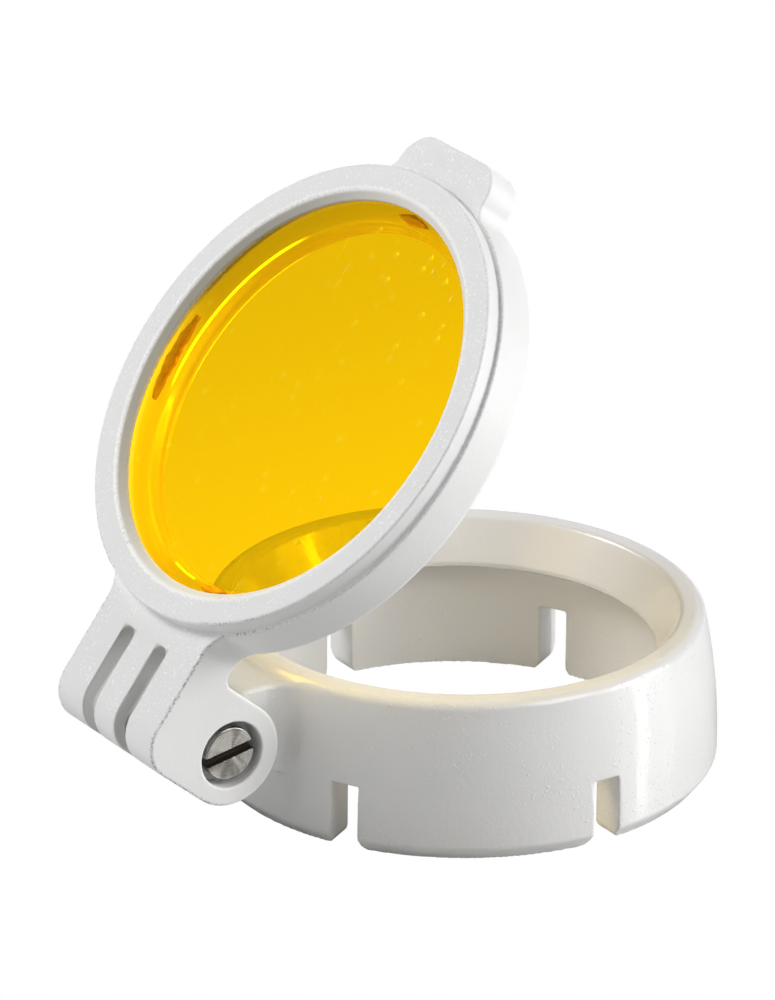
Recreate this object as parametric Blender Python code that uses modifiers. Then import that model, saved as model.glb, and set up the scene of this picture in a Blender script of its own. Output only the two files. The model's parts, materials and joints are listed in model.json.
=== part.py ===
"""Flip-up yellow filter on a push-on clip collar, as used on an inspection or examination lamp.

The collar clips over the lamp's round nose with six spring tongues. A framed yellow filter swings
on a screw hinge at the collar's side, from flat over the rim (closed) to well clear of the beam.

Frame: the collar's axis is Z, Z = 0 is the collar's bottom rim, the hinge is on the -X side and its
axis runs along Y. The model stands with the filter half open, by OPEN_ANGLE.
"""
import math

import bmesh
import bpy
from mathutils import Vector

MM = 0.001
GAP = 0.3                    # clearance between neighbouring pieces

# ---- driving dimensions, millimetres and degrees ----
COLLAR_HEIGHT = 11.5
COLLAR_RADIUS = 18.0         # widest, just above the bottom chamfer
COLLAR_WIDEST_Z = 1.75
COLLAR_CROWN = 42.0          # radius of the crowned outer wall
COLLAR_BOTTOM_RADIUS = 17.15
COLLAR_CHAMFER_TOP = 1.0
COLLAR_BORE = 15.2           # radius that grips the lamp's nose
COLLAR_LIP = 13.65           # radius of the stop lip
COLLAR_LIP_Z = 8.6
COLLAR_LIP_THICKNESS = 0.4
COLLAR_MOUTH = 15.3          # radius of the rim's inner edge
RIM_ROUNDING = 0.6

SLOT_COUNT = 6
SLOT_WIDTH = 2.2
SLOT_TOP = 5.0
SLOT_CORNER = 0.15           # at the slot's closed end
TONGUE_CORNER = 0.8          # rounded corners at the tongues' free ends

HINGE_X = -22.6
HINGE_Z = 7.8
OPEN_ANGLE = 50.0
KNUCKLE_RADIUS = 2.5
KNUCKLE_WIDTH = 7.2
LUG_TOP_Z = 11.0
LUG_SHOULDER_X = -20.7       # the lug's block reaches out to here above the neck
LUG_EDGE = 0.4               # chamfer of the block's upper edge
LUG_NECK = 1.4               # how far below the axis the neck's underside lies
LUG_FOOT_Z = 4.6
LUG_FOOT_X = (-18.9, -17.6)  # the underside slopes inward below the neck
LUG_ROOT_X = -16.2           # inside the collar's wall

FACE_HEIGHT = 8.2            # frame's front face above the hinge axis when closed
FRAME_THICKNESS = 4.2
FRAME_RADIUS = 17.6
FRAME_FACE_RADIUS = 17.3     # raised front ring
FRAME_STEP = 1.1             # its height above the ring's body
FACE_DROP = 0.05             # how far the arm's and tab's faces lie below the step
FRAME_OPENING = 15.4
LIP_RADIUS = 14.8
LIP_THICKNESS = 0.8
SEAT_RADIUS = 16.3

ARM_HALF_WIDTH = 6.0
EAR_INNER = 3.9
EAR_RADIUS = 3.7
ARM_CORNER = 2.4
ARM_TAPER = 0.35             # the arm's face drops this much towards its bend
FINGER_THICKNESS = 0.9       # end wall, whose middle strip presses on the knuckle
FINGER_END_Z = -0.4          # the end wall's free edge
HOOD_PLATE_Z = 5.65          # underside of the plate above the hollow between the ears
HOOD_END = 4.9               # the hollow's end below the ring
ARM_SLOT_WIDTH = 1.4
ARM_SLOT_OFFSET = 2.0
ARM_SLOT_END = 3.6

TAB_HALF_WIDTH = 5.1
TAB_REACH = 20.07
TAB_CORNER = 2.3
TAB_THICKNESS = 2.75

FILTER_THICKNESS = 1.2
RETAINER_THICKNESS = 1.1
RETAINER_INNER = 13.9
DAB_COUNT = 4
DAB_FIRST_ANGLE = 9.0
DAB_RADIUS = 15.0
DAB_SIZE = (0.45, 2.8, 0.15)  # half sizes: radial, tangential, axial
DAB_GAP = 0.2

SCREW_HEAD_RADIUS = 1.9      # M2 slotted cheese head
SCREW_HEAD_HEIGHT = 1.3
SCREW_SHANK_RADIUS = 1.0
DRIVER_SLOT_WIDTH = 0.65
DRIVER_SLOT_DEPTH = 0.6
DRIVER_SLOT_ANGLE = 10.0
HEAD_RECESS = 0.25
COUNTERBORE_RADIUS = 2.4
INSERT_RADIUS = 1.6          # threaded insert in the far ear
INSERT_LENGTH = 1.8

RING_STEPS = 96             # facets of the big round pieces
SMALL_STEPS = 64            # of the pieces inside the frame
SCREW_STEPS = 40            # of the hinge hardware
THROUGH = 40.0              # reach of a cutter that goes right through a piece

CENTRE_X = -HINGE_X          # frame's ring centre from the hinge axis
FACE_Z = FACE_HEIGHT         # frame's front face in the hinge's own coordinates

# ---- scene and helpers ----


def clear_scene():
    """Remove everything that the scene holds."""
    for obj in list(bpy.data.objects):
        bpy.data.objects.remove(obj, do_unlink=True)


def make_collection(name):
    """A new collection, linked to the scene."""
    collection = bpy.data.collections.new(name)
    bpy.context.scene.collection.children.link(collection)
    return collection


def make_material(name, color, roughness, metallic=0.0, transmission=0.0):
    """A Principled material with plain values."""
    material = bpy.data.materials.new(name)
    material.use_nodes = True
    shader = material.node_tree.nodes["Principled BSDF"]
    shader.inputs["Base Color"].default_value = (*color, 1.0)
    shader.inputs["Roughness"].default_value = roughness
    shader.inputs["Metallic"].default_value = metallic
    shader.inputs["Transmission Weight"].default_value = transmission
    return material


def arc(centre, radius, start, end, steps):
    """Points along an arc, from start to end degrees, both ends included."""
    angles = [math.radians(start + (end - start) * i / steps) for i in range(steps + 1)]
    return [(centre[0] + radius * math.cos(a), centre[1] + radius * math.sin(a)) for a in angles]


def place(obj, collection, parent=None, location=(0, 0, 0), rotation=(0, 0, 0)):
    """Link an object, parent it and set its place in millimetres and degrees."""
    collection.objects.link(obj)
    obj.parent = parent
    obj.location = Vector(location) * MM
    obj.rotation_euler = [math.radians(angle) for angle in rotation]
    if collection is cutters:
        obj.hide_render = True
        obj.display_type = "WIRE"
    return obj


def turned(name, profile, steps=RING_STEPS):
    """A solid of revolution about its own Z, from an outline of (radius, height) points.

    An outline that starts on the axis also ends there, and has no edge along it.
    """
    mesh = bpy.data.meshes.new(name)
    points = [(r * MM, 0.0, z * MM) for r, z in profile]
    edges = [(i, i + 1) for i in range(len(points) - 1)]
    if profile[0][0] > 0:
        edges.append((len(points) - 1, 0))
    mesh.from_pydata(points, edges, [])
    obj = bpy.data.objects.new(name, mesh)
    screw = obj.modifiers.new("revolve", "SCREW")
    screw.steps = steps
    screw.render_steps = steps
    screw.use_merge_vertices = True
    screw.merge_threshold = 0.00001
    screw.use_smooth_shade = True
    return obj


def plate(name, outline, thickness):
    """A flat outline with straight walls: a filled 2D curve, extruded, as a mesh."""
    curve = bpy.data.curves.new(name, "CURVE")
    curve.dimensions = "2D"
    curve.fill_mode = "BOTH"
    curve.extrude = thickness * MM / 2
    spline = curve.splines.new("POLY")
    spline.points.add(len(outline) - 1)
    for point, (x, y) in zip(spline.points, outline):
        point.co = (x * MM, y * MM, 0.0, 1.0)
    spline.use_cyclic_u = True
    source = bpy.data.objects.new(name + "_outline", curve)
    bpy.context.scene.collection.objects.link(source)
    graph = bpy.context.evaluated_depsgraph_get()
    mesh = bpy.data.meshes.new_from_object(source.evaluated_get(graph))
    bpy.data.objects.remove(source, do_unlink=True)
    weld(mesh)
    mesh.name = name
    return bpy.data.objects.new(name, mesh)


def weld(mesh):
    """Join a mesh's doubled points and turn its faces outwards."""
    shape = bmesh.new()
    shape.from_mesh(mesh)
    bmesh.ops.remove_doubles(shape, verts=shape.verts, dist=0.000001)
    bmesh.ops.recalc_face_normals(shape, faces=shape.faces)
    shape.to_mesh(mesh)
    shape.free()


def rod(name, radius, length, segments=48):
    """A cylinder along its own Z, centred."""
    mesh = bpy.data.meshes.new(name)
    shape = bmesh.new()
    bmesh.ops.create_cone(shape, cap_ends=True, segments=segments,
                          radius1=radius * MM, radius2=radius * MM, depth=length * MM)
    shape.to_mesh(mesh)
    shape.free()
    return bpy.data.objects.new(name, mesh)


def boolean(obj, other, operation):
    """Add a Boolean modifier with the exact solver."""
    modifier = obj.modifiers.new(operation.lower(), "BOOLEAN")
    modifier.operation = operation
    modifier.object = other
    modifier.solver = "EXACT"


def finish(obj, material):
    """Give a finished piece its material."""
    obj.data.materials.clear()
    obj.data.materials.append(material)
    return obj


# ---- the collar ----


def crown_radius(z):
    """The crowned outer wall's radius at a height."""
    return COLLAR_RADIUS - (z - COLLAR_WIDEST_Z) ** 2 / (2 * COLLAR_CROWN)


def collar_profile():
    """Outer side from the rim down, then the bore, the stop lip and the funnel back up."""
    shoulder_z = COLLAR_HEIGHT - RIM_ROUNDING
    edge = crown_radius(shoulder_z)
    rounding = arc((edge - RIM_ROUNDING, shoulder_z), RIM_ROUNDING, 90, 0, 4)
    wall_steps = 7
    drop = (shoulder_z - COLLAR_CHAMFER_TOP) / wall_steps
    heights = [shoulder_z - drop * i for i in range(1, wall_steps + 1)]
    wall = [(crown_radius(z), z) for z in heights]
    bore_top = COLLAR_LIP_Z - COLLAR_LIP_THICKNESS
    inside = [(COLLAR_BOTTOM_RADIUS, 0), (COLLAR_BORE, 0), (COLLAR_BORE, bore_top),
              (COLLAR_LIP, bore_top), (COLLAR_LIP, COLLAR_LIP_Z), (COLLAR_MOUTH, COLLAR_HEIGHT)]
    return rounding + wall + inside


def hinge_lug_outline():
    """The lug's side view: a block that reaches out over a neck, and the knuckle round the screw."""
    shoulder_angle = math.degrees(math.acos((LUG_SHOULDER_X - HINGE_X) / KNUCKLE_RADIUS))
    neck_angle = math.degrees(math.asin(LUG_NECK / KNUCKLE_RADIUS))
    knuckle = arc((HINGE_X, HINGE_Z), KNUCKLE_RADIUS, shoulder_angle, 360 - neck_angle, 24)
    return [(LUG_ROOT_X, LUG_TOP_Z), (LUG_SHOULDER_X + LUG_EDGE, LUG_TOP_Z),
            (LUG_SHOULDER_X, LUG_TOP_Z - LUG_EDGE), *knuckle,
            (LUG_FOOT_X[0], HINGE_Z - LUG_NECK), (LUG_FOOT_X[1], LUG_FOOT_Z),
            (LUG_ROOT_X, LUG_FOOT_Z)]


def tongue_slot_outline():
    """A slot between two tongues, seen along a radius, rounded out at the tongues' free ends."""
    half = SLOT_WIDTH / 2
    below = -1
    mouth = half + TONGUE_CORNER
    top = (arc((half - SLOT_CORNER, SLOT_TOP - SLOT_CORNER), SLOT_CORNER, 0, 90, 3)
           + arc((SLOT_CORNER - half, SLOT_TOP - SLOT_CORNER), SLOT_CORNER, 90, 180, 3))
    left = arc((-mouth, TONGUE_CORNER), TONGUE_CORNER, 0, -90, 5)
    right = arc((mouth, TONGUE_CORNER), TONGUE_CORNER, 270, 180, 5)
    return [*top, *left, (-mouth, below), (mouth, below), *right]


def build_collar(material):
    """The clip collar: turned body, hinge lug, six spring tongues, screw hole."""
    collar = place(turned("clip_collar", collar_profile()), parts)
    lug = place(plate("cut_lug", hinge_lug_outline(), KNUCKLE_WIDTH), cutters, rotation=(90, 0, 0))
    boolean(collar, lug, "UNION")
    for index in range(SLOT_COUNT // 2):
        angle = 30 + 360 / SLOT_COUNT * index
        slot = plate(f"cut_tongue_slot_{index}", tongue_slot_outline(), 2.2 * COLLAR_RADIUS)
        place(slot, cutters, rotation=(90, 0, angle + 90))
        boolean(collar, slot, "DIFFERENCE")
    hole = rod("cut_knuckle_hole", SCREW_SHANK_RADIUS + GAP, 2 * KNUCKLE_WIDTH)
    place(hole, cutters, location=(HINGE_X, 0, HINGE_Z), rotation=(90, 0, 0))
    boolean(collar, hole, "DIFFERENCE")
    return finish(collar, material)


# ---- the filter frame, in the hinge's own coordinates ----


def frame_profile():
    """Ring section, heights from the front face: raised ring, body, seat, chamfered lip."""
    edge = 0.15
    back = -FRAME_THICKNESS
    return [(FRAME_OPENING, 0), (FRAME_FACE_RADIUS - edge, 0), (FRAME_FACE_RADIUS, -edge),
            (FRAME_FACE_RADIUS, -FRAME_STEP), (FRAME_RADIUS - edge, -FRAME_STEP),
            (FRAME_RADIUS, -FRAME_STEP - edge), (FRAME_RADIUS, back + edge),
            (FRAME_RADIUS - edge, back), (SEAT_RADIUS, back), (SEAT_RADIUS, -LIP_THICKNESS),
            (LIP_RADIUS, -LIP_THICKNESS), (LIP_RADIUS, -LIP_THICKNESS + GAP)]


def arm_side_outline():
    """The arm's side view: face, bend, end wall, round ear and the fillet under the ring."""
    face_z = FACE_Z - FRAME_STEP - FACE_DROP
    bend_z = face_z - ARM_TAPER
    under_z = FACE_Z - FRAME_THICKNESS + FACE_DROP
    fillet = 0.9
    taper_start = 5.4
    inside_ring = 9.0
    bend = arc((ARM_CORNER - EAR_RADIUS, bend_z - ARM_CORNER), ARM_CORNER, 90, 180, 8)
    ear = arc((0, 0), EAR_RADIUS, 180, 360, 24)
    concave = arc((EAR_RADIUS + fillet, under_z - fillet), fillet, 180, 90, 5)
    return [(inside_ring, face_z), (taper_start, face_z), *bend, *ear, *concave,
            (inside_ring, under_z)]


def arm_plan_outline():
    """The arm from the front: straight sides that flare into the ring's wall."""
    fillet = 1.3
    inner = (FRAME_RADIUS + SEAT_RADIUS) / 2
    past_ears = -CENTRE_X - 2.5 * EAR_RADIUS
    centre_y = ARM_HALF_WIDTH + fillet
    centre_x = -math.sqrt((FRAME_RADIUS + fillet) ** 2 - centre_y ** 2)
    touch = math.degrees(math.atan2(-centre_y, -centre_x))
    upper = arc((centre_x, centre_y), fillet, 270, 360 + touch, 6)
    reach = math.degrees(math.atan2(centre_y, -centre_x))
    root = arc((0, 0), inner, 180 - reach, 180 + reach, 8)
    lower = [(x, -y) for x, y in reversed(upper)]
    outline = [(past_ears, ARM_HALF_WIDTH), *upper, *root, *lower, (past_ears, -ARM_HALF_WIDTH)]
    return [(x + CENTRE_X, y) for x, y in outline]


def hood_outline():
    """The hollow between the ears, with the end wall's free edge."""
    inner_corner = 1.4
    wall_x = FINGER_THICKNESS - EAR_RADIUS
    past_wall = wall_x - 2 * FINGER_THICKNESS
    below = -2 * EAR_RADIUS
    corner = arc((wall_x + inner_corner, HOOD_PLATE_Z - inner_corner), inner_corner, 90, 180, 5)
    return [(HOOD_END, below), (HOOD_END, HOOD_PLATE_Z), *corner, (wall_x, FINGER_END_Z),
            (past_wall, FINGER_END_Z), (past_wall, below)]


def arm_slot_outline():
    """One of the two slots that free the arm's middle strip, round at its ring end."""
    half = ARM_SLOT_WIDTH / 2
    past_wall = -2 * EAR_RADIUS
    tip = arc((ARM_SLOT_END - half, 0), half, -90, 90, 8)
    return [*tip, (past_wall, half), (past_wall, -half)]


def tab_outline():
    """The finger tab from the front: rounded corners, small fillets at the ring."""
    fillet = 0.8
    inner = (FRAME_RADIUS + SEAT_RADIUS) / 2
    centre_y = TAB_HALF_WIDTH + fillet
    centre_x = math.sqrt((FRAME_RADIUS + fillet) ** 2 - centre_y ** 2)
    touch = math.degrees(math.atan2(centre_y, centre_x))
    lower = arc((centre_x, -centre_y), fillet, 180 - touch, 90, 5)
    corner_x = TAB_REACH - TAB_CORNER
    corner_y = TAB_HALF_WIDTH - TAB_CORNER
    corners = (arc((corner_x, -corner_y), TAB_CORNER, -90, 0, 8)
               + arc((corner_x, corner_y), TAB_CORNER, 0, 90, 8))
    upper = [(x, -y) for x, y in reversed(lower)]
    root = arc((0, 0), inner, touch, -touch, 8)
    return [(x + CENTRE_X, y) for x, y in [*lower, *corners, *upper, *root]]


def build_frame(hinge, material):
    """The filter frame: ring, slotted arm with two ears, finger tab, screw and nut seats."""
    ring = turned("filter_frame", frame_profile())
    place(ring, parts, hinge, (CENTRE_X, 0, FACE_Z))

    arm = plate("cut_arm", arm_side_outline(), THROUGH)
    place(arm, cutters, hinge, rotation=(90, 0, 0))
    plan = place(plate("cut_arm_plan", arm_plan_outline(), THROUGH), cutters, hinge)
    boolean(arm, plan, "INTERSECT")
    hood = plate("cut_hood", hood_outline(), 2 * EAR_INNER)
    place(hood, cutters, hinge, rotation=(90, 0, 0))
    boolean(arm, hood, "DIFFERENCE")
    for index, side in enumerate((-1, 1)):
        slot = plate(f"cut_arm_slot_{index}", arm_slot_outline(), THROUGH)
        place(slot, cutters, hinge, (0, side * ARM_SLOT_OFFSET, 0))
        boolean(arm, slot, "DIFFERENCE")
    boolean(ring, arm, "UNION")

    tab = plate("cut_tab", tab_outline(), TAB_THICKNESS)
    place(tab, cutters, hinge, (0, 0, FACE_Z - FRAME_STEP - FACE_DROP - TAB_THICKNESS / 2))
    boolean(ring, tab, "UNION")

    head_depth = SCREW_HEAD_HEIGHT + HEAD_RECESS + GAP / 2
    counterbore = rod("cut_counterbore", COUNTERBORE_RADIUS, 2 * head_depth)
    place(counterbore, cutters, hinge, (0, -ARM_HALF_WIDTH, 0), (90, 0, 0))
    boolean(ring, counterbore, "DIFFERENCE")
    hole = rod("cut_ear_holes", SCREW_SHANK_RADIUS + GAP, 4 * ARM_HALF_WIDTH)
    place(hole, cutters, hinge, rotation=(90, 0, 0))
    boolean(ring, hole, "DIFFERENCE")
    bore = rod("cut_insert_bore", INSERT_RADIUS + GAP, 2 * (INSERT_LENGTH + GAP))
    place(bore, cutters, hinge, (0, ARM_HALF_WIDTH, 0), (90, 0, 0))
    boolean(ring, bore, "DIFFERENCE")
    return finish(ring, material)


# ---- the filter and what holds it ----


def build_filter(hinge, material):
    """The clear yellow disc, with a fine chamfer on both edges."""
    radius = SEAT_RADIUS - GAP
    chamfer = 0.15
    bottom = -FILTER_THICKNESS
    profile = [(0, 0), (radius - chamfer, 0), (radius, -chamfer),
               (radius, bottom + chamfer), (radius - chamfer, bottom), (0, bottom)]
    disc = turned("yellow_filter", profile, SMALL_STEPS)
    place(disc, parts, hinge, (CENTRE_X, 0, FACE_Z - LIP_THICKNESS - GAP))
    return finish(disc, material)


def build_dabs(hinge, material):
    """Flat dabs of cement between the filter's rim and the retaining ring."""
    behind_filter = FACE_Z - LIP_THICKNESS - GAP - FILTER_THICKNESS
    height = behind_filter - DAB_GAP - DAB_SIZE[2]
    for index in range(DAB_COUNT):
        name = f"cement_dab_{index + 1}"
        mesh = bpy.data.meshes.new(name)
        shape = bmesh.new()
        bmesh.ops.create_uvsphere(shape, u_segments=14, v_segments=8, radius=MM)
        bmesh.ops.scale(shape, vec=DAB_SIZE, verts=shape.verts)
        bmesh.ops.translate(shape, vec=(DAB_RADIUS * MM, 0, 0), verts=shape.verts)
        shape.to_mesh(mesh)
        shape.free()
        mesh.shade_smooth()
        dab = bpy.data.objects.new(name, mesh)
        angle = DAB_FIRST_ANGLE + 360 / DAB_COUNT * index
        place(dab, parts, hinge, (CENTRE_X, 0, height), (0, 0, angle))
        finish(dab, material)


def build_retainer(hinge, material):
    """The ring pressed into the seat behind the filter, flush with the frame's back."""
    edge = 0.1
    outer = SEAT_RADIUS - GAP
    bottom = -RETAINER_THICKNESS
    profile = [(RETAINER_INNER + edge, 0), (outer - edge, 0), (outer, -edge),
               (outer, bottom + edge), (outer - edge, bottom), (RETAINER_INNER + edge, bottom),
               (RETAINER_INNER, bottom + edge), (RETAINER_INNER, -edge)]
    ring = turned("retaining_ring", profile, SMALL_STEPS)
    place(ring, parts, hinge, (CENTRE_X, 0, FACE_Z - FRAME_THICKNESS + RETAINER_THICKNESS + 0.1))
    return finish(ring, material)


# ---- the hinge's hardware ----


def build_screw(hinge, material):
    """The slotted cheese-head screw along the hinge axis, head on the -Y side."""
    edge = 0.15
    head = SCREW_HEAD_RADIUS
    shank = SCREW_SHANK_RADIUS
    under = -SCREW_HEAD_HEIGHT
    length = 2 * ARM_HALF_WIDTH - HEAD_RECESS - GAP
    profile = [(0, 0), (head - edge, 0), (head, -edge), (head, under), (shank, under),
               (shank, edge - length), (shank - edge, -length), (0, -length)]
    seat_y = HEAD_RECESS - ARM_HALF_WIDTH
    screw = place(turned("hinge_screw", profile, SCREW_STEPS), parts, hinge, (0, seat_y, 0), (90, 0, 0))

    mesh = bpy.data.meshes.new("cut_driver_slot")
    shape = bmesh.new()
    bmesh.ops.create_cube(shape, size=MM)
    size = (3 * head, 2 * DRIVER_SLOT_DEPTH, DRIVER_SLOT_WIDTH)
    bmesh.ops.scale(shape, vec=size, verts=shape.verts)
    shape.to_mesh(mesh)
    shape.free()
    slot = bpy.data.objects.new(mesh.name, mesh)
    place(slot, cutters, hinge, (0, seat_y, 0), (0, OPEN_ANGLE - DRIVER_SLOT_ANGLE, 0))
    boolean(screw, slot, "DIFFERENCE")
    return finish(screw, material)


def build_insert(hinge, material):
    """The threaded insert that the screw bites into, in the far ear."""
    edge = 0.1
    inner = SCREW_SHANK_RADIUS + GAP / 2
    outer = INSERT_RADIUS
    bottom = -INSERT_LENGTH
    profile = [(inner + edge, 0), (outer - edge, 0), (outer, -edge), (outer, bottom + edge),
               (outer - edge, bottom), (inner, bottom), (inner, -edge)]
    insert = turned("threaded_insert", profile, SCREW_STEPS)
    place(insert, parts, hinge, (0, ARM_HALF_WIDTH - GAP / 2, 0), (-90, 0, 0))
    return finish(insert, material)


clear_scene()
parts = make_collection("flip_up_filter")
cutters = make_collection("cutters")

hinge_axis = bpy.data.objects.new("hinge_axis", None)
place(hinge_axis, parts, location=(HINGE_X, 0, HINGE_Z), rotation=(0, -OPEN_ANGLE, 0))

white_paint = make_material("white_paint", (0.82, 0.82, 0.80), 0.45)
yellow_plastic = make_material("yellow_plastic", (1.0, 0.66, 0.0), 0.05, transmission=0.9)
cream_plastic = make_material("cream_plastic", (0.80, 0.74, 0.56), 0.5)
amber_cement = make_material("amber_cement", (0.50, 0.22, 0.03), 0.3)
nickel_steel = make_material("nickel_steel", (0.62, 0.60, 0.57), 0.3, metallic=1.0)
brass = make_material("brass", (0.72, 0.50, 0.20), 0.35, metallic=1.0)

build_collar(white_paint)
build_frame(hinge_axis, white_paint)
build_filter(hinge_axis, yellow_plastic)
build_dabs(hinge_axis, amber_cement)
build_retainer(hinge_axis, cream_plastic)
build_screw(hinge_axis, nickel_steel)
build_insert(hinge_axis, brass)
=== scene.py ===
"""Looks of the flip-up yellow filter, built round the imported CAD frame.

Each CAD node is replaced by a fine version of the same shape. A shape is a distance field in
millimetres, negative inside, so that every edge has a true rounding, as under a coat of enamel.
"""
import json
import math

import bpy
import numpy as np
from mathutils import Matrix, Vector


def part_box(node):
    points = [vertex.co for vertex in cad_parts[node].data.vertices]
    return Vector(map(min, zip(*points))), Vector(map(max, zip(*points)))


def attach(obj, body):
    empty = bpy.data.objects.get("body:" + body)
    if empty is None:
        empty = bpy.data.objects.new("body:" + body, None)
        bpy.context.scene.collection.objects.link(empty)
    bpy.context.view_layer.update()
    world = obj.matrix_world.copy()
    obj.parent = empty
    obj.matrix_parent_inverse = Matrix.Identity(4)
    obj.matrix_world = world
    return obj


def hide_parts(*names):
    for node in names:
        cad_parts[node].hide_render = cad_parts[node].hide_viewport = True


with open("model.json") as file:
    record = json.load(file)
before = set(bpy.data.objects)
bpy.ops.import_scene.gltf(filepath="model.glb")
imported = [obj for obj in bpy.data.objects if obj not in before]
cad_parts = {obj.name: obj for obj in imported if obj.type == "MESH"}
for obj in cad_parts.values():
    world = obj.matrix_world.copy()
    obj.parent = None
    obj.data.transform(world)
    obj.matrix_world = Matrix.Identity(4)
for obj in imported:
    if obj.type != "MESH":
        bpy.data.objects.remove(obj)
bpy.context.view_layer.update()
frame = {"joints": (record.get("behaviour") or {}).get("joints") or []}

MM = 0.001
HINGE = Vector(frame["joints"][0]["pos_m"])
OPEN_ANGLE = -frame["joints"][0]["range_deg"][0]     # how far the filter stands open at rest
HINGE_X, _, HINGE_Z = HINGE / MM

# ---- shared dimensions, millimetres ----
COLLAR_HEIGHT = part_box("clip_collar")[1].z / MM
COLLAR_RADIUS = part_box("clip_collar")[1].x / MM
BORE = 15.2
LIP = 13.65
LIP_BOTTOM = 8.2
LIP_TOP = 8.6
MOUTH = 15.3
EAR_Y = 6.0
EAR_INNER = 3.9
KNUCKLE_Y = 3.7
RING_X = 22.6                # ring's centre from the hinge axis, along the arm
FACE_Z = 8.2                 # front face above the hinge axis
RING_BACK = 4.0
LEDGE_Z = 7.1
SEAT = 16.3
SCREW_TOP = -EAR_Y + 0.25
RETAINER_INNER = 13.9
DABS = ((3, 14.45, 1.5), (97, 14.9, 3.3), (191, 14.25, 1.3), (279, 15.0, 2.6))
# each dab: angle, distance from the axis, half length
TONGUE_CORNER = 0.8

# ---- distance fields ----


def union_round(a, b, r):
    """Two shapes joined, with a fillet where they meet."""
    return np.maximum(r, np.minimum(a, b)) - np.hypot(np.maximum(r - a, 0), np.maximum(r - b, 0))


def both_round(a, b, r):
    """What two shapes share, with a rounded edge."""
    return np.minimum(-r, np.maximum(a, b)) + np.hypot(np.maximum(r + a, 0), np.maximum(r + b, 0))


def cut_round(a, b, r):
    """The first shape without the second, with a rounded edge."""
    return both_round(a, -b, r)


def between(value, low, high):
    """A slab from low to high."""
    return np.maximum(low - value, value - high)


def ring_field(x, y, z):
    """The frame's ring: raised front, body, flared opening and the filter's seat."""
    rho = np.hypot(x - RING_X, y)
    raised = both_round(rho - 17.3, between(z, LEDGE_Z - 1.5, FACE_Z), 0.16)
    flare = 14.8 + 0.6 * np.clip((z - FACE_Z + 0.5) / 0.5, 0, 1.3)
    opening = rho - flare
    seat = both_round(rho - SEAT, z - (FACE_Z - 0.8), 0.1)
    return raised, np.minimum(opening, seat)


def arm_side_field(x, z):
    """Side view of the body: ring slab, sloping arm face, round bend and round ear."""
    slope = 0.052
    face = (z - (LEDGE_Z - 0.05) + slope * np.maximum(5.4 - x, 0)) / math.hypot(1, slope)
    end = -3.7 - x
    block = both_round(face, end, 2.4)
    ear = np.minimum(np.hypot(x, z) - 3.7, np.maximum(np.abs(x) - 3.7, -z))
    slab = RING_BACK - z
    return np.maximum(block, union_round(ear, slab, 0.9))


def plan_field(x, y, half_width, reach, corner, fillet, side):
    """Ring disc from the front, joined to a straight-sided lug on one side of it."""
    disc = np.hypot(x - RING_X, y) - 17.6
    out = side * (x - RING_X) - reach
    lug = both_round(np.abs(y) - half_width, out, corner)
    inward = side * (RING_X - x) + 12
    return union_round(disc, np.maximum(lug, inward), fillet)


def frame_field(x, y, z):
    """The whole filter frame in the hinge's coordinates, closed position."""
    raised, hollow = ring_field(x, y, z)
    arm = plan_field(x, y, EAR_Y, 40, 0.1, 1.3, -1)
    body = both_round(arm, arm_side_field(x, z), 0.17)
    tab_plan = plan_field(x, y, 5.1, 20.07, 2.3, 0.8, 1)
    tab = both_round(tab_plan, between(z, 4.3, LEDGE_Z - 0.05), 0.17)
    solid = union_round(np.minimum(body, tab), raised, 0.08)
    solid = cut_round(solid, hollow, 0.12)
    return frame_cuts(solid, x, y, z)


def frame_cuts(solid, x, y, z):
    """Hood cavity, the two slots, counterbore, screw hole and insert bore."""
    cavity = both_round(both_round(z - 5.65, -2.8 - x, 1.4), x - 4.9, 0.4)
    cavity = np.maximum(cavity, np.abs(y) - EAR_INNER)
    below = np.maximum(np.maximum(z + 0.4, x - 1), np.abs(y) - EAR_INNER)
    solid = cut_round(solid, np.minimum(cavity, below), 0.12)
    tip = 3.6 - 0.7
    for side in (-1, 1):
        across = np.abs(y - side * 2.0)
        slot = np.hypot(np.maximum(x - tip, 0), across) - 0.7
        solid = cut_round(solid, slot, 0.1)
    rho = np.hypot(x, z)
    bore = np.minimum(np.maximum(rho - 2.4, y + 4.35), rho - 1.25)
    bore = np.minimum(bore, np.maximum(rho - 1.65, 4.1 - y))
    return cut_round(solid, bore, 0.12)


def collar_body(x, y, z):
    """The turned body of the collar, with its bore, stop lip and funnel mouth."""
    radius = np.hypot(x, y)
    wall = wall_field(x, y, z)
    chamfer = ((radius - 17.15) * 1.25 - z) / 1.601
    outer = both_round(np.maximum(wall, -z), chamfer, 0.12)
    outer = both_round(outer, z - COLLAR_HEIGHT, 0.65)
    run = MOUTH - LIP
    rise = COLLAR_HEIGHT - LIP_TOP
    funnel = ((radius - LIP) * rise - (z - LIP_TOP) * run) / math.hypot(run, rise)
    hollow = np.minimum(np.maximum(radius - BORE, z - LIP_BOTTOM), radius - LIP)
    hollow = np.minimum(hollow, np.maximum(funnel, LIP_TOP - z))
    return cut_round(outer, hollow, 0.22)


def wall_field(x, y, z):
    """The collar's crowned outer wall."""
    return np.hypot(x, y) - (COLLAR_RADIUS - (z - 1.75) ** 2 / 84)


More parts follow.
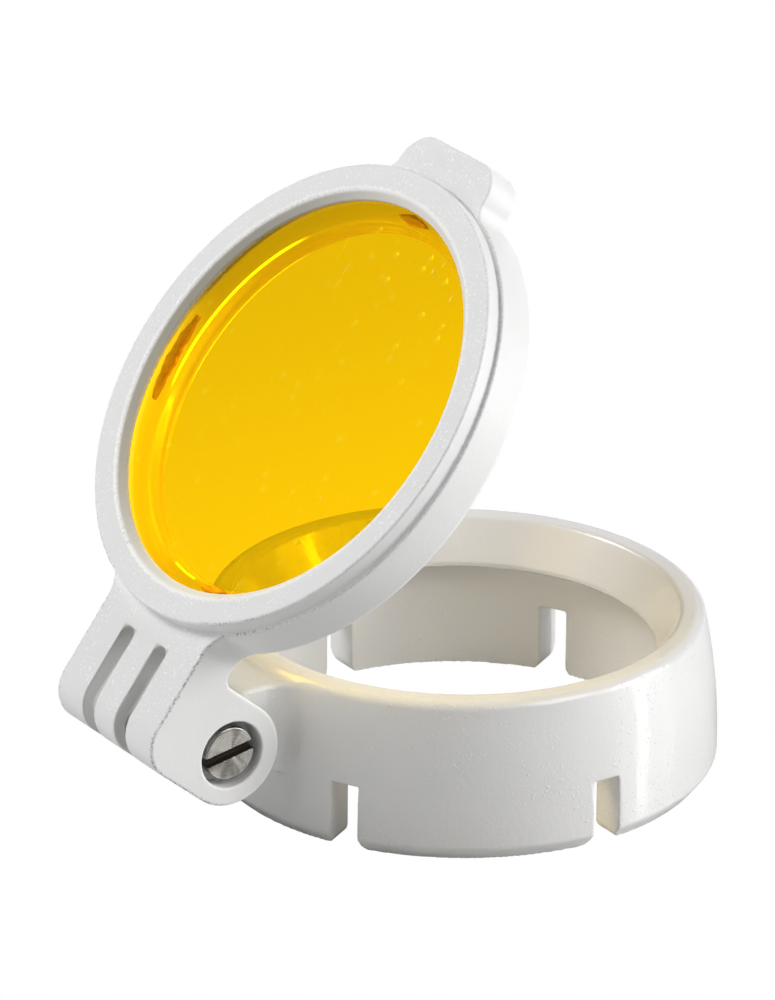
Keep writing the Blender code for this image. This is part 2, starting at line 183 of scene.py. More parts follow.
def lug_field(x, y, z):
    """The hinge lug: block and shoulder on the wall, knuckle, sides that sweep into the wall."""
    block = both_round(both_round(-18.7 - x, z - 11.0, 0.45), 4.6 - z, 0.8)
    shoulder = both_round(both_round(-20.7 - x, z - 11.0, 0.9), 6.4 - z, 0.4)
    u, w = x - HINGE_X, z - HINGE_Z
    neck = np.maximum(np.abs(w) - 1.4, between(u, 0, 5))
    knuckle = union_round(np.hypot(u, w) - 2.5, neck, 0.4)
    side = union_round(np.minimum(block, shoulder), knuckle, 0.7)
    plan = union_round(wall_field(x, y, z), np.abs(y) - KNUCKLE_Y, 1.7)
    return both_round(side, np.maximum(plan, x + 10), 0.35)


def collar_field(x, y, z):
    """The clip collar with its lug, tongue slots and screw hole."""
    radius = np.hypot(x, y)
    beside = np.clip((np.abs(y) - 5.0) / 3.0, 0, 1)
    recess = 0.4 * beside * beside * (3 - 2 * beside)
    lug = np.maximum(lug_field(x, y, z), 16.0 - radius) + recess
    solid = union_round(collar_body(x, y, z), lug, 0.35)
    for index in range(6):
        angle = math.radians(30 + 60 * index)
        along = x * math.cos(angle) + y * math.sin(angle)
        across = -x * math.sin(angle) + y * math.cos(angle)
        slot = both_round(np.abs(across) - 1.0, z - 4.95, 0.12)
        solid = cut_round(solid, np.maximum(slot, 5 - along), 0.15)
        drop = np.clip(TONGUE_CORNER - z, 0, TONGUE_CORNER)
        flare = TONGUE_CORNER - np.sqrt(TONGUE_CORNER ** 2 - drop ** 2)
        corner = np.maximum(np.abs(across) - 1.0 - flare, z - TONGUE_CORNER)
        solid = np.maximum(solid, -np.maximum(corner, 5 - along))
    hole = np.hypot(x - HINGE_X, z - HINGE_Z) - 1.1
    return cut_round(solid, hole, 0.12)


def screw_field(x, y, z):
    """Slotted cheese-head screw along -Z from its face, with its thread."""
    rho = np.hypot(x, y)
    head = both_round(rho - 1.9, between(z, -1.3, 0), 0.12)
    slot = both_round(np.abs(y) - 0.34, -0.62 - z, 0.04)
    head = cut_round(head, slot, 0.03)
    turn = np.arctan2(y, x) + 2 * math.pi * z / 0.4
    thread = 0.07 * np.cos(turn) * np.clip((-9.2 - z) / 0.4, 0, 1)
    shank = both_round(rho - 0.97 - thread, between(z, -11.45, -1), 0.15)
    return np.minimum(head, shank)


def insert_field(x, y, z):
    """The threaded insert: a knurled sleeve with a plain flange face and a threaded bore."""
    rho = np.hypot(x, y)
    angle = np.arctan2(y, x)
    knurl = 0.05 * np.cos(24 * angle) * np.clip((-0.35 - z) / 0.1, 0, 1)
    sleeve = both_round(rho - 1.6 - knurl, between(z, -1.8, 0), 0.1)
    thread = 0.05 * np.cos(angle - 2 * math.pi * z / 0.4)
    return cut_round(sleeve, rho - 1.07 - thread, 0.08)


def dab_field(x, y, z, half):
    """A squeezed-out dab of cement, pointed at both ends, of a given half length."""
    sag = y * y / 30
    width = (0.12 + 0.12 * half) * np.clip(1 - (y / half) ** 2, 0, 1) ** 0.8 + 0.04
    lump = 0.1 * np.sin(3.1 * y + 0.6) + 0.06 * np.sin(7.3 * y + 2 * x)
    side = np.hypot((x + sag) / width, z / 0.26) - 1 - lump
    return np.maximum(side * np.minimum(width, 0.26) * 0.6, np.abs(y) - half)


# ---- from field to mesh ----


def surface_net(field, low, high, pitch):
    """Vertices and quads of a field's surface, one vertex in each grid cell that it crosses."""
    axes = [np.arange(a, b + pitch, pitch, dtype=np.float32) for a, b in zip(low, high)]
    values = field(*np.meshgrid(*axes, indexing="ij", sparse=True)).astype(np.float32)
    values = np.broadcast_to(values, [len(a) for a in axes])
    inside = values < 0
    cells = [n - 1 for n in inside.shape]
    corners = [(i, j, k) for i in (0, 1) for j in (0, 1) for k in (0, 1)]
    count = sum(inside[i:i + cells[0], j:j + cells[1], k:k + cells[2]].astype(np.int8)
                for i, j, k in corners)
    index = np.argwhere((count > 0) & (count < 8))
    at = {c: values[tuple((index + c).T)] for c in corners}
    total = np.zeros((len(index), 3))
    hits = np.zeros(len(index))
    for start in corners:
        for axis in range(3):
            if start[axis]:
                continue
            stop = tuple(v + (n == axis) for n, v in enumerate(start))
            a, b = at[start], at[stop]
            crosses = (a < 0) != (b < 0)
            share = np.where(crosses, a / np.where(crosses, a - b, 1), 0)
            point = np.array(start) + share[:, None] * np.eye(3)[axis]
            total += point * crosses[:, None]
            hits += crosses
    points = (index + total / hits[:, None]) * pitch + np.array([a[0] for a in axes])
    number = np.full(cells, -1, np.int32)
    number[tuple(index.T)] = np.arange(len(index))
    return points, quads_of(inside, number)


def quads_of(inside, number):
    """One quad round each grid edge whose ends lie on different sides of the surface."""
    quads = []
    for axis in range(3):
        first = [slice(1, -1)] * 3
        second = [slice(1, -1)] * 3
        first[axis] = slice(0, -1)
        second[axis] = slice(1, None)
        a, b = inside[tuple(first)], inside[tuple(second)]
        u, v = np.eye(3, dtype=int)[(axis + 1) % 3], np.eye(3, dtype=int)[(axis + 2) % 3]
        base = np.array([0 if n == axis else 1 for n in range(3)])
        for crosses, flip in ((a & ~b, False), (~a & b, True)):
            at = np.argwhere(crosses) + base
            ring = [number[tuple((at - s * u - t * v).T)] for s, t in ((0, 0), (1, 0), (1, 1), (0, 1))]
            quads.append(np.stack(ring[::-1] if flip else ring, 1))
    return np.concatenate(quads)


def gradient(field, points, step):
    """Central differences of a field, and its bending (positive on outer edges)."""
    here = field(*points.T)
    slopes = []
    bend = -6 * here
    for axis in range(3):
        shift = np.eye(3)[axis] * step
        ahead, behind = field(*(points + shift).T), field(*(points - shift).T)
        slopes.append((ahead - behind) / (2 * step))
        bend = bend + ahead + behind
    return here, np.stack(slopes, 1), bend / step ** 2


def shape(name, field, low, high, pitch, matrix):
    """A mesh object from a field: its vertices pulled onto the surface, smooth normals, and an
    'edge' attribute that is 1 along outer edges."""
    points, quads = surface_net(field, low, high, pitch)
    for _ in range(3):
        here, slope, _ = gradient(field, points, pitch / 6)
        pull = here[:, None] * slope / np.maximum((slope ** 2).sum(1, keepdims=True), 0.2)
        points = points - np.clip(pull, -pitch, pitch)
    _, slope, bend = gradient(field, points, pitch / 3)
    normals = slope / np.maximum(np.linalg.norm(slope, axis=1, keepdims=True), 1e-6)
    mesh = bpy.data.meshes.new(name)
    mesh.from_pydata((points * MM).tolist(), [], quads.tolist())
    mesh.shade_smooth()
    mesh.normals_split_custom_set_from_vertices(normals.tolist())
    add_attribute(mesh, "edge", np.clip(bend / 4, 0, 1))
    add_attribute(mesh, "front", np.clip((normals[:, 2] - 0.75) / 0.2, 0, 1))
    obj = bpy.data.objects.new(name, mesh)
    bpy.context.scene.collection.objects.link(obj)
    obj.matrix_world = matrix
    return obj


def add_attribute(mesh, name, values):
    """A float attribute on the mesh's vertices."""
    mesh.attributes.new(name, "FLOAT", "POINT").data.foreach_set("value", values.astype(np.float32))


def lathe(name, profile, steps, matrix):
    """A turned mesh from (radius, height) points in millimetres, closed onto the axis or itself."""
    closed = profile[0][0] > 0
    count = len(profile)
    verts, faces = [], []
    for step in range(steps):
        turn = 2 * math.pi * step / steps
        verts += [(r * math.cos(turn) * MM, r * math.sin(turn) * MM, z * MM) for r, z in profile]
    for step in range(steps):
        here, there = step * count, (step + 1) % steps * count
        for i in range(count if closed else count - 1):
            j = (i + 1) % count
            faces.append((here + i, here + j, there + j, there + i))
    mesh = bpy.data.meshes.new(name)
    mesh.from_pydata(verts, [], faces)
    obj = bpy.data.objects.new(name, mesh)
    bpy.context.scene.collection.objects.link(obj)
    weld = obj.modifiers.new("weld", "WELD")
    weld.merge_threshold = 0.000001
    obj.matrix_world = matrix
    mesh.shade_smooth()
    mesh.set_sharp_from_angle(angle=math.radians(50))
    return obj


def rounded(points, radius, steps=4):
    """An outline with each corner replaced by a small curve."""
    result = []
    for i, corner in enumerate(points):
        if corner[0] == 0:
            result.append(corner)
            continue
        before, after = Vector(points[i - 1]), Vector(points[(i + 1) % len(points)])
        corner = Vector(corner)
        back, onward = (before - corner).normalized(), (after - corner).normalized()
        start, end = corner + back * radius, corner + onward * radius
        result.append(tuple(start + back * 0.04))
        for step in range(steps + 1):
            t = step / steps
            result.append(tuple(start * (1 - t) ** 2 + corner * 2 * t * (1 - t) + end * t * t))
        result.append(tuple(end + onward * 0.04))
    return result


# ---- pieces ----

HINGE_FRAME = Matrix.Translation(HINGE) @ Matrix.Rotation(math.radians(-OPEN_ANGLE), 4, "Y")
RING_FRAME = HINGE_FRAME @ Matrix.Translation((RING_X * MM, 0, 0))


def add(obj, body, node, material):
    """Give a piece its finish, hang it on the empty of the body it rides on, and hide the CAD node it stands
    for.
    """
    obj.data.materials.append(material)
    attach(obj, body)
    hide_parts(node)
    return obj


def build_collar(material):
    """The clip collar."""
    reach = COLLAR_RADIUS + 0.4
    obj = shape("collar_shell", collar_field, (HINGE_X - 2.9, -reach, -0.4),
                (reach, reach, COLLAR_HEIGHT + 0.4), 0.16, Matrix.Identity(4))
    add(obj, "collar", "clip_collar", material)


def build_frame(material):
    """The filter frame."""
    obj = shape("frame_shell", frame_field, (-4.2, -18.1, -4.2), (43.2, 18.1, FACE_Z + 0.5),
                0.15, HINGE_FRAME)
    add(obj, "filter_flap", "filter_frame", material)


def build_filter(material):
    """The yellow disc, resting against the opening's lip."""
    top, bottom = FACE_Z - 0.82, FACE_Z - 2.35
    profile = rounded([(0, top), (SEAT - 0.05, top), (SEAT - 0.05, bottom), (0, bottom)], 0.12)
    obj = lathe("filter_disc", profile, 192, RING_FRAME)
    add(obj, "filter_flap", "yellow_filter", material)


def build_retainer(material):
    """The retaining ring behind the disc."""
    top, bottom = FACE_Z - 2.75, RING_BACK + 0.05
    lip = RETAINER_INNER - 0.25
    outline = [(RETAINER_INNER, top), (SEAT - 0.02, top), (SEAT - 0.02, bottom), (lip, bottom),
               (lip, bottom + 0.35), (RETAINER_INNER, bottom + 0.55)]
    obj = lathe("snap_ring", rounded(outline, 0.2, 6), 192, RING_FRAME)
    add(obj, "filter_flap", "retaining_ring", material)


def build_dabs(material):
    """The cement dabs between disc and ring."""
    for number, (degrees, radius, half) in enumerate(DABS, 1):
        place = (RING_FRAME @ Matrix.Rotation(math.radians(degrees), 4, "Z")
                 @ Matrix.Translation(Vector((radius, 0, FACE_Z - 2.56)) * MM))
        reach = half + 0.3
        obj = shape(f"dab_{number}", lambda x, y, z: dab_field(x, y, z, half),
                    (-1.2, -reach, -0.6), (1, reach, 0.6), 0.08, place)
        add(obj, "filter_flap", f"cement_dab_{number}", material)


def build_screw(material):
    """The hinge screw, its face just under the ear's."""
    place = (Matrix.Translation(HINGE + Vector((0, SCREW_TOP, 0)) * MM)
             @ Matrix.Rotation(math.radians(90), 4, "X")
             @ Matrix.Rotation(math.radians(10), 4, "Z"))
    obj = shape("pivot_screw", screw_field, (-2.1, -2.1, -11.7), (2.1, 2.1, 0.2), 0.06, place)
    add(obj, "filter_flap", "hinge_screw", material)


def build_insert(material):
    """The threaded insert in the far ear."""
    place = (Matrix.Translation(HINGE + Vector((0, EAR_Y - 0.12, 0)) * MM)
             @ Matrix.Rotation(math.radians(-90), 4, "X"))
    obj = shape("screw_insert", insert_field, (-1.9, -1.9, -2), (1.9, 1.9, 0.2), 0.06, place)
    add(obj, "filter_flap", "threaded_insert", material)


# ---- materials ----


class Nodes:
    """Short calls for building a node tree."""

    def __init__(self, name):
        self.material = bpy.data.materials.new(name)
        self.material.use_nodes = True
        self.tree = self.material.node_tree
        self.shader = self.tree.nodes["Principled BSDF"]
        self.output = self.tree.nodes["Material Output"]

    def add(self, kind, inputs=None, **settings):
        """A node with its settings, and its inputs as values or as links."""
        node = self.tree.nodes.new(kind)
        for key, value in settings.items():
            setattr(node, key, value)
        for key, value in (inputs or {}).items():
            self.put(node.inputs[key], value)
        return node

    def put(self, socket, value):
        """A value or a link into a socket."""
        if isinstance(value, bpy.types.NodeSocket):
            self.tree.links.new(value, socket)
        else:
            socket.default_value = value

    def math(self, operation, a, b=0.0):
        """A math node's result."""
        return self.add("ShaderNodeMath", {0: a, 1: b}, operation=operation).outputs[0]

    def millimetres(self, scale=(1, 1, 1)):
        """Object coordinates in millimetres, stretched by scale."""
        place = self.add("ShaderNodeTexCoord").outputs["Object"]
        size = [1000 * s for s in scale]
        return self.add("ShaderNodeMapping", {"Vector": place, "Scale": size}).outputs[0]

    def noise(self, vector, scale, detail=3.0, roughness=0.55):
        """Noise whose scale is in waves per millimetre."""
        inputs = {"Vector": vector, "Scale": scale, "Detail": detail, "Roughness": roughness}
        return self.add("ShaderNodeTexNoise", inputs).outputs["Fac"]

    def ramp(self, value, low, high, to_low=0.0, to_high=1.0):
        """A value remapped from one range to another, and held at its ends."""
        inputs = {"Value": value, "From Min": low, "From Max": high,
                  "To Min": to_low, "To Max": to_high}
        node = self.add("ShaderNodeMapRange", inputs, interpolation_type="SMOOTHSTEP")
        return node.outputs["Result"]

    def attribute(self, name):
        """A vertex attribute's value."""
        return self.add("ShaderNodeAttribute", attribute_name=name).outputs["Fac"]

    def mix(self, factor, a, b):
        """Two colours mixed."""
        node = self.add("ShaderNodeMix", data_type="RGBA")
        for socket, value in zip((node.inputs[0], node.inputs[6], node.inputs[7]), (factor, a, b)):
            self.put(socket, value)
        return node.outputs[2]

    def bump(self, height, distance, strength=1.0, normal=None):
        """A bump of a height in millimetres."""
        inputs = {"Height": height, "Distance": distance * MM, "Strength": strength}
        if normal is not None:
            inputs["Normal"] = normal
        return self.add("ShaderNodeBump", inputs).outputs["Normal"]

    def set(self, **values):
        """Values or links on the Principled shader, by their names with underscores."""
        for key, value in values.items():
            self.put(self.shader.inputs[key.replace("_", " ")], value)


def flecks(n, place, scale, share):
    """Small round grains on a share of the cells of a random pattern."""
    cell = n.add("ShaderNodeTexVoronoi", {"Vector": place, "Scale": scale})
    dot = n.ramp(cell.outputs["Distance"], 0.42, 0.16)
    chosen = n.math("GREATER_THAN", n.add("ShaderNodeSeparateColor", {"Color": cell.outputs["Color"]}
                                          ).outputs[0], 1 - share)
    return n.math("MULTIPLY", dot, chosen)


def frame_enamel():
    """White enamel on the frame: satin sides, white flecks on the faces that look forward, painted
    white so they also stand as painted glints, worn edges beside the arm, painted highlights along
    all edges and the opening's front edge, and painted shade in the slot walls and on the opening's wall."""
    n = Nodes("frame_enamel")
    place = n.millimetres()
    edge = n.attribute("edge")
    front = n.attribute("front")
    broad = n.noise(place, 0.25)
    fine = n.noise(place, 4.0)
    speck = n.ramp(n.noise(place, 5.0, 2.0), 0.59, 0.66)
    cluster = n.ramp(n.noise(place, 0.45, 1.0), 0.38, 0.62, 0.25, 1.0)
    # white flecks on the forward faces: a real grainy coat, painted pure white so they also stand as painted
    # glints
    grains_and_glints = n.math("MULTIPLY", n.math("MULTIPLY", speck, cluster), front)
    x, y, z = n.add("ShaderNodeSeparateXYZ", {0: place}).outputs
    side = n.ramp(n.math("ABSOLUTE", y), 5.3, 5.6)
    face = n.math("MAXIMUM", n.ramp(z, 5.4, 6.4), n.ramp(x, -2.6, -3.3))
    worn = n.math("MULTIPLY", n.math("MULTIPLY", side, face), n.ramp(x, 7.0, 10.0, 0.7, 0.25))
    grit = n.math("MULTIPLY", n.ramp(n.noise(place, 5.5, 2.0), 0.50, 0.62), edge)
    # painted shade: the walls of the two slots in the arm are darkened
    slot = n.math("ABSOLUTE", n.math("SUBTRACT", n.math("ABSOLUTE", y), 2.0))
    shade = n.math("MULTIPLY", n.ramp(slot, 0.82, 0.70), n.ramp(x, 3.7, 3.5))
    white = n.mix(broad, (0.80, 0.80, 0.795, 1), (0.83, 0.83, 0.828, 1))
    white = n.mix(grains_and_glints, white, (1.0, 1.0, 1.0, 1))
    # painted highlight: all outer edges are lightened towards white
    white = n.mix(n.math("MULTIPLY", edge, 0.5), white, (0.92, 0.92, 0.915, 1))
    white = n.mix(shade, white, (0.60, 0.60, 0.59, 1))
    along = n.math("SUBTRACT", x, RING_X)
    radius = n.math("SQRT", n.math("ADD", n.math("MULTIPLY", along, along), n.math("MULTIPLY", y, y)))
    # painted shade: the wall of the filter opening is darkened, more towards +y
    wall = n.math("MULTIPLY", n.ramp(radius, 15.6, 15.45), n.ramp(z, 8.15, 8.0))
    white = n.mix(n.math("MULTIPLY", wall, n.ramp(y, 0, 14, 0.1, 1.0)), white, (0.46, 0.45, 0.41, 1))
    # painted highlight: a white line along the front edge of the filter opening
    rim = n.math("MULTIPLY", n.math("MULTIPLY", edge, front), n.ramp(radius, 15.95, 15.75))
    white = n.mix(rim, white, (1.0, 1.0, 1.0, 1))
    color = n.mix(n.math("MULTIPLY", grit, worn), white, (0.36, 0.35, 0.33, 1))
    roughness = n.ramp(fine, 0.3, 0.7, 0.40, 0.52)
    roughness = n.math("SUBTRACT", roughness, n.math("MULTIPLY", grains_and_glints, 0.2))
    normal = n.bump(fine, 0.012)
    normal = n.bump(n.noise(place, 7.0, 2.0), 0.015, n.math("MULTIPLY", front, 0.6), normal)
    normal = n.bump(grit, 0.04, worn, normal)
    n.set(Base_Color=color, Roughness=roughness, Normal=normal)
    n.set(Coat_Weight=0.05, Coat_Roughness=0.2, Specular_IOR_Level=0.28)
    return n.material


def collar_enamel():
    """Glossy white enamel on the collar: orange peel, pits and faint vertical brush marks."""
    n = Nodes("collar_enamel")
    place = n.millimetres()
    edge = n.attribute("edge")
    broad = n.noise(place, 0.2, 1.0)
    peel = n.noise(place, 1.3, 1.0)
    brush = n.noise(n.millimetres((4.0, 4.0, 0.12)), 1.0, 1.0)
    patch = n.ramp(n.noise(place, 0.16, 0.0), 0.45, 0.6, 0.1, 1.0)
    pits = n.math("MULTIPLY", n.ramp(n.noise(place, 4.2, 0.0), 0.70, 0.78), patch)
    grit = n.math("MULTIPLY", n.ramp(n.noise(place, 4.5, 2.0), 0.5, 0.62), edge)
    white = n.mix(broad, (0.775, 0.775, 0.77, 1), (0.805, 0.805, 0.80, 1))
    white = n.mix(n.math("MULTIPLY", pits, 0.35), white, (0.92, 0.92, 0.91, 1))
    color = n.mix(n.math("MULTIPLY", grit, 0.12), white, (0.55, 0.54, 0.50, 1))
    normal = n.bump(peel, 0.02, 0.5)
    normal = n.bump(n.noise(place, 3.5, 1.0), 0.016, 0.6, normal)
    normal = n.bump(brush, 0.005, 0.5, normal)
    normal = n.bump(pits, 0.03, 1.0, normal)
    n.set(Base_Color=color, Roughness=n.ramp(broad, 0.3, 0.7, 0.34, 0.42), Normal=normal)
    n.set(Coat_Weight=0.8, Coat_Roughness=0.09, Specular_IOR_Level=0.5, Coat_Normal=normal)
    return n.material


def yellow_glass():
    """Clear yellow plastic with hairline scratches, and a painted glow on one side of its outer edge.
    Light that passes through it turns yellow."""
    n = Nodes("yellow_glass")
    place = n.millimetres((0.15, 1.6, 1.0))
    scratch = n.ramp(n.noise(place, 2.2, 4.0), 0.70, 0.74)
    dust = flecks(n, n.millimetres(), 1.1, 0.05)
    marks = n.math("MAXIMUM", n.math("MULTIPLY", scratch, 0.5), dust)
    color = n.mix(n.math("MULTIPLY", marks, 0.5), (1.0, 0.595, 0.001, 1), (1.0, 0.80, 0.15, 1))
    x, y, _ = n.add("ShaderNodeSeparateXYZ", {0: n.millimetres()}).outputs
    radius = n.math("SQRT", n.math("ADD", n.math("MULTIPLY", x, x), n.math("MULTIPLY", y, y)))
    n.set(Base_Color=color, Roughness=0.02, IOR=1.49, Transmission_Weight=1.0)
    # painted glow: yellow emission near the outer edge, on one side only, stands for light gathering there
    angle = n.math("ARCTAN2", y, x)
    side = n.ramp(n.math("ABSOLUTE", n.math("SUBTRACT", angle, 2.2)), 0.9, 0.4)
    painted_glow = n.math("MULTIPLY", side, n.ramp(radius, 15.0, 15.9, 0.0, 0.3))
    n.set(Emission_Color=(1.0, 1.0, 0.0, 1), Emission_Strength=painted_glow)
    n.set(Normal=n.bump(marks, 0.01, 0.4))
    clear = n.add("ShaderNodeBsdfTransparent", {"Color": (0.84, 0.81, 0.69, 1)}).outputs[0]
    shadow = n.add("ShaderNodeLightPath").outputs["Is Shadow Ray"]
    both = n.add("ShaderNodeMixShader", {0: shadow, 1: n.shader.outputs[0], 2: clear})
    n.put(n.output.inputs["Surface"], both.outputs[0])
    return n.material


def cream_plastic():
    """Polished cream plastic of the retaining ring, with painted light: painted highlight lines along
    its two inner edges, a darker base under a painted yellow-green glow on the face behind the
    disc, a painted shade band near the top of that face, and a faint painted glow all over."""
    n = Nodes("cream_plastic")
    place = n.millimetres()
    x, y, z = n.add("ShaderNodeSeparateXYZ", {0: place}).outputs
    radius = n.math("SQRT", n.math("ADD", n.math("MULTIPLY", x, x), n.math("MULTIPLY", y, y)))
    angle = n.math("ARCTAN2", y, x)
    # painted highlights: bright emission lines along the ring's two inner edges, in windows of angle
    highlight_window_upper = n.ramp(n.math("ABSOLUTE", n.math("SUBTRACT", angle, 1.31)), 0.56, 0.35)
    highlight_window_lower = n.ramp(n.math("ABSOLUTE", n.math("SUBTRACT", angle, 3.05)), 0.11, 0.07)
    face = n.ramp(z, FACE_Z - 2.9, FACE_Z - 2.82)
    painted_highlight_line = n.ramp(radius, RETAINER_INNER + 0.16, RETAINER_INNER + 0.08)
    painted_highlight_line = n.math("MULTIPLY", n.math("MULTIPLY", painted_highlight_line, face), n.math("MAXIMUM", highlight_window_upper, highlight_window_lower))
    lip = n.ramp(radius, RETAINER_INNER - 0.05, RETAINER_INNER - 0.15)
    back = n.math("MULTIPLY", n.math("MULTIPLY", n.ramp(z, RING_BACK + 0.25, RING_BACK + 0.15), lip), highlight_window_upper)
    # painted shade: a dark band on the face near its top, limited by angle and radius
    painted_shade_band = n.ramp(n.math("ABSOLUTE", n.math("SUBTRACT", angle, 0.95)), 0.6, 0.3)
    painted_shade_band = n.math("MULTIPLY", painted_shade_band, n.ramp(radius, 15.7, 16.2))
    side = n.ramp(n.math("ABSOLUTE", n.math("SUBTRACT", angle, 2.2)), 0.9, 0.4)
    color = n.mix(n.noise(place, 0.6), (0.84, 0.82, 0.76, 1), (0.90, 0.88, 0.82, 1))
    # painted light: the face behind the disc gets a darker base that the painted glow below lifts again
    color = n.mix(face, color, (0.36, 0.36, 0.28, 1))
    color = n.mix(n.math("MULTIPLY", painted_shade_band, face), color, (0.06, 0.06, 0.03, 1))
    # painted glow: emission on the face, brighter on one side and weaker in the shade band, plus the highlight
    # lines and a faint glow everywhere
    painted_glow = n.math("ADD", n.math("MULTIPLY", side, 0.3), n.math("SUBTRACT", 0.34, n.math("MULTIPLY", painted_shade_band, 0.5)))
    painted_glow = n.math("MAXIMUM", n.math("MULTIPLY", face, painted_glow), 0.0)
    painted_highlight_lines = n.math("ADD", n.math("MULTIPLY", painted_highlight_line, 5.0), n.math("MULTIPLY", back, 1.0))
    painted_glow = n.math("ADD", n.math("ADD", painted_glow, painted_highlight_lines), 0.2)
    n.set(Base_Color=color, Roughness=n.ramp(n.noise(place, 3.0), 0.3, 0.7, 0.12, 0.18))
    n.set(Normal=n.bump(n.noise(place, 3.0), 0.004))
    n.set(Coat_Weight=0.5, Coat_Roughness=0.12)
    n.set(Emission_Color=(0.95, 1.0, 0.8, 1), Emission_Strength=painted_glow)
    return n.material


def amber_cement():
    """Hardened brown-orange cement."""
    n = Nodes("amber_cement")
    place = n.millimetres()
    color = n.mix(n.noise(place, 2.5), (0.62, 0.28, 0.03, 1), (1.0, 0.72, 0.2, 1))
    n.set(Base_Color=color, Roughness=n.ramp(n.noise(place, 2.0), 0.3, 0.7, 0.12, 0.25))
    n.set(Normal=n.bump(n.noise(place, 3.0), 0.06))
    return n.material


def turned_metal(name, light, dark, streaks, slot=0.0):
    """Bright metal with turning marks round the piece's own Z axis, and a driver slot of a given half
    width that is coloured near black towards its bottom."""
    n = Nodes(name)
    place = n.millimetres()
    x, y, z = n.add("ShaderNodeSeparateXYZ", {0: place}).outputs
    radius = n.math("SQRT", n.math("ADD", n.math("MULTIPLY", x, x), n.math("MULTIPLY", y, y)))
    angle = n.math("ARCTAN2", y, x)
    sector = n.add("ShaderNodeCombineXYZ", {0: n.math("MULTIPLY", n.math("SINE", angle), 1.3),
                                            1: n.math("MULTIPLY", n.math("COSINE", angle), 1.3),
                                            2: n.math("MULTIPLY", radius, 0.3)}).outputs[0]
    rings = n.noise(n.add("ShaderNodeCombineXYZ", {0: n.math("MULTIPLY", radius, 14.0),
                                                   1: n.math("MULTIPLY", z, 6.0)}).outputs[0], 1.0)
    color = n.mix(n.ramp(n.noise(sector, 1.2, 2.0), 0.35, 0.65), dark, light)
    normal = n.bump(rings, streaks)
    normal = n.bump(n.noise(sector, 9.0, 3.0), streaks * 1.5, 0.5, normal)
    # the driver slot is coloured near black towards its bottom
    across = n.math("LESS_THAN", n.math("ABSOLUTE", y), slot)
    dark_slot = n.math("MULTIPLY", across, n.ramp(z, -0.04, -0.12))
    color = n.mix(dark_slot, color, (0.022, 0.014, 0.008, 1))
    n.set(Base_Color=color, Metallic=n.math("SUBTRACT", 1.0, n.math("MULTIPLY", dark_slot, 0.8)))
    n.set(Roughness=n.ramp(rings, 0.3, 0.7, 0.16, 0.34), Normal=normal)
    return n.material


# ---- stage ----


def white_when_seen(name, lit):
    """A backdrop that looks plain white, a little greyer far away through clear pieces, and that
    lights the object as a pale surface with a sheen."""
    n = Nodes(name)
    n.tree.nodes.remove(n.shader)
    bright = n.add("ShaderNodeEmission", {"Color": (1, 1, 1, 1), "Strength": 1.0}).outputs[0]
    matte = n.add("ShaderNodeBsdfDiffuse", {"Color": (lit, lit, lit, 1)}).outputs[0]
    sheen = n.add("ShaderNodeBsdfGlossy", {"Color": (1, 1, 1, 1), "Roughness": 0.2}).outputs[0]
    pale = n.add("ShaderNodeMixShader", {0: 0.3, 1: matte, 2: sheen}).outputs[0]
    far = n.add("ShaderNodeSeparateXYZ", {0: n.millimetres()}).outputs[1]
    through = n.add("ShaderNodeEmission", {"Color": (1, 1, 1, 1),
                                           "Strength": n.ramp(far, 30, 85, 1.12, 0.92)}).outputs[0]
    path = n.add("ShaderNodeLightPath")
    both = n.add("ShaderNodeMixShader", {0: path.outputs["Is Transmission Ray"], 1: pale, 2: through})
    both = n.add("ShaderNodeMixShader", {0: path.outputs["Is Camera Ray"], 1: both.outputs[0],
                                         2: bright})
    n.put(n.output.inputs["Surface"], both.outputs[0])
    return n.material


def build_floor():
    """A wide pale table, just under the collar's rim."""
    half = 0.6
    mesh = bpy.data.meshes.new("table")
    corners = [(-half, -half, 0), (half, -half, 0), (half, half, 0), (-half, half, 0)]
    mesh.from_pydata(corners, [], [(0, 1, 2, 3)])
    table = bpy.data.objects.new("table", mesh)
    bpy.context.scene.collection.objects.link(table)
    table.location.z = -0.00005
    mesh.materials.append(white_when_seen("table_white", 0.66))


def soft_light(name, azimuth, elevation, distance, size, power, mirrored=True):
    """An area light that looks at the object, and whether glossy paint mirrors it."""
    light = bpy.data.lights.new(name, "AREA")
    light.shape = "RECTANGLE"
    light.size, light.size_y = size
    light.energy = power
    obj = bpy.data.objects.new(name, light)
    bpy.context.scene.collection.objects.link(obj)
    back = direction(azimuth, elevation)
    obj.location = TARGET + back * distance
    obj.rotation_euler = back.to_track_quat("Z", "Y").to_euler()
    obj.visible_glossy = mirrored
    return obj


def direction(azimuth, elevation):
    """The unit vector towards a viewpoint, azimuth from the -Y side."""
    a, e = math.radians(azimuth), math.radians(elevation)
    return Vector((math.sin(a) * math.cos(e), -math.cos(a) * math.cos(e), math.sin(e)))


TARGET = Vector((-6.18, 0, 20.59)) * MM
CAMERA_AZIMUTH = -33.83
CAMERA_ELEVATION = 23.10
CAMERA_ROLL = 0.53
CAMERA_DISTANCE = 0.5474
CAMERA_LENS = 288


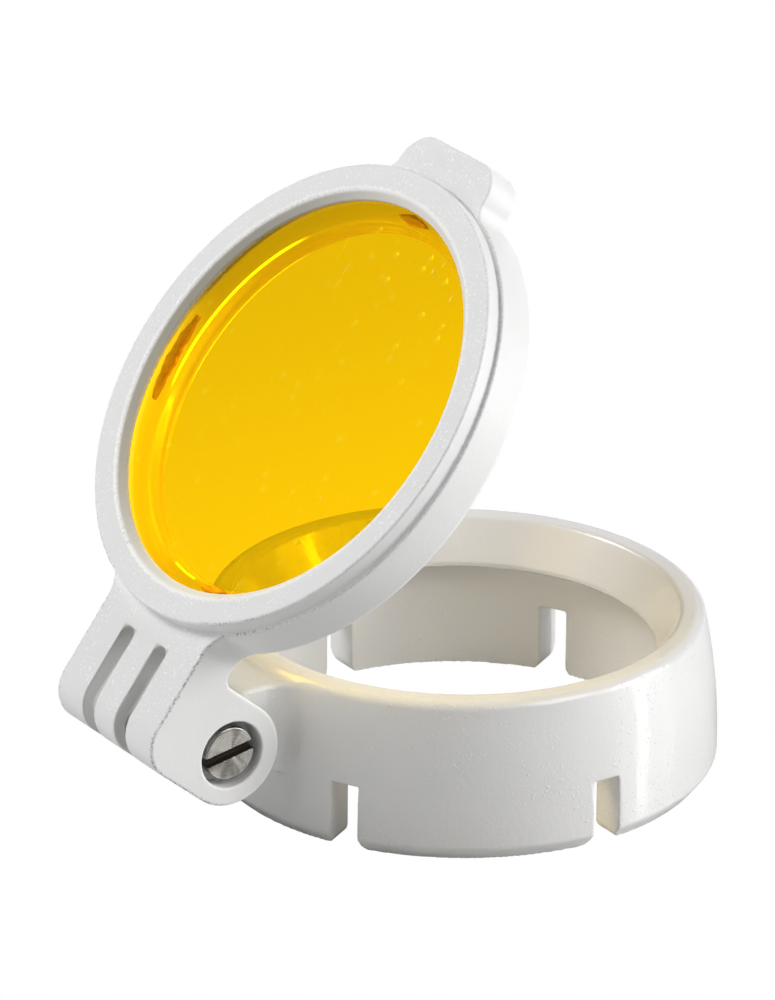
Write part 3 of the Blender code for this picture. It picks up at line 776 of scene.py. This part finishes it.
def build_camera():
    """A long lens at the viewing angle of a product shot."""
    data = bpy.data.cameras.new("camera")
    data.lens = CAMERA_LENS
    camera = bpy.data.objects.new("camera", data)
    bpy.context.scene.collection.objects.link(camera)
    back = direction(CAMERA_AZIMUTH, CAMERA_ELEVATION)
    turn = back.to_track_quat("Z", "Y").to_matrix().to_4x4()
    roll = Matrix.Rotation(math.radians(CAMERA_ROLL), 4, "Z")
    camera.matrix_world = Matrix.Translation(TARGET + back * CAMERA_DISTANCE) @ turn @ roll
    bpy.context.scene.camera = camera


def build_world():
    """Soft even light from a white room."""
    world = bpy.data.worlds.new("room")
    world.use_nodes = True
    tree = world.node_tree
    room = tree.nodes["Background"]
    room.inputs["Color"].default_value = (1, 1, 1, 1)
    room.inputs["Strength"].default_value = 0.03
    seen = tree.nodes.new("ShaderNodeBackground")
    seen.inputs["Strength"].default_value = 1.0
    seen.inputs["Color"].default_value = (1, 1, 1, 1)
    path = tree.nodes.new("ShaderNodeLightPath")
    mix = tree.nodes.new("ShaderNodeMixShader")
    tree.links.new(path.outputs["Is Camera Ray"], mix.inputs[0])
    tree.links.new(room.outputs[0], mix.inputs[1])
    tree.links.new(seen.outputs[0], mix.inputs[2])
    tree.links.new(mix.outputs[0], tree.nodes["World Output"].inputs["Surface"])
    bpy.context.scene.world = world


build_collar(collar_enamel())
build_frame(frame_enamel())
build_filter(yellow_glass())
build_retainer(cream_plastic())
build_dabs(amber_cement())
build_screw(turned_metal("nickel", (0.46, 0.45, 0.42, 1), (0.19, 0.18, 0.17, 1), 0.01, 0.36))
build_insert(turned_metal("brass", (0.80, 0.58, 0.27, 1), (0.55, 0.36, 0.13, 1), 0.01))

build_floor()
build_camera()
build_world()
soft_light("right_softbox", 56, 17, 0.5, (0.32, 0.34), 1.02)
soft_light("right_strip", 53, 15, 0.5, (0.05, 0.30), 0.82)
soft_light("left_softbox", -137, 43, 0.5, (0.20, 0.20), 1.52)
soft_light("front_fill", 21, 40, 0.6, (0.30, 0.30), 1.2)
soft_light("left_fill", -96, 20, 0.5, (0.36, 0.36), 0.6, mirrored=False)
soft_light("right_back", 136, 16, 0.5, (0.20, 0.20), 1.4, mirrored=False)
bpy.context.scene.view_settings.view_transform = "Standard"
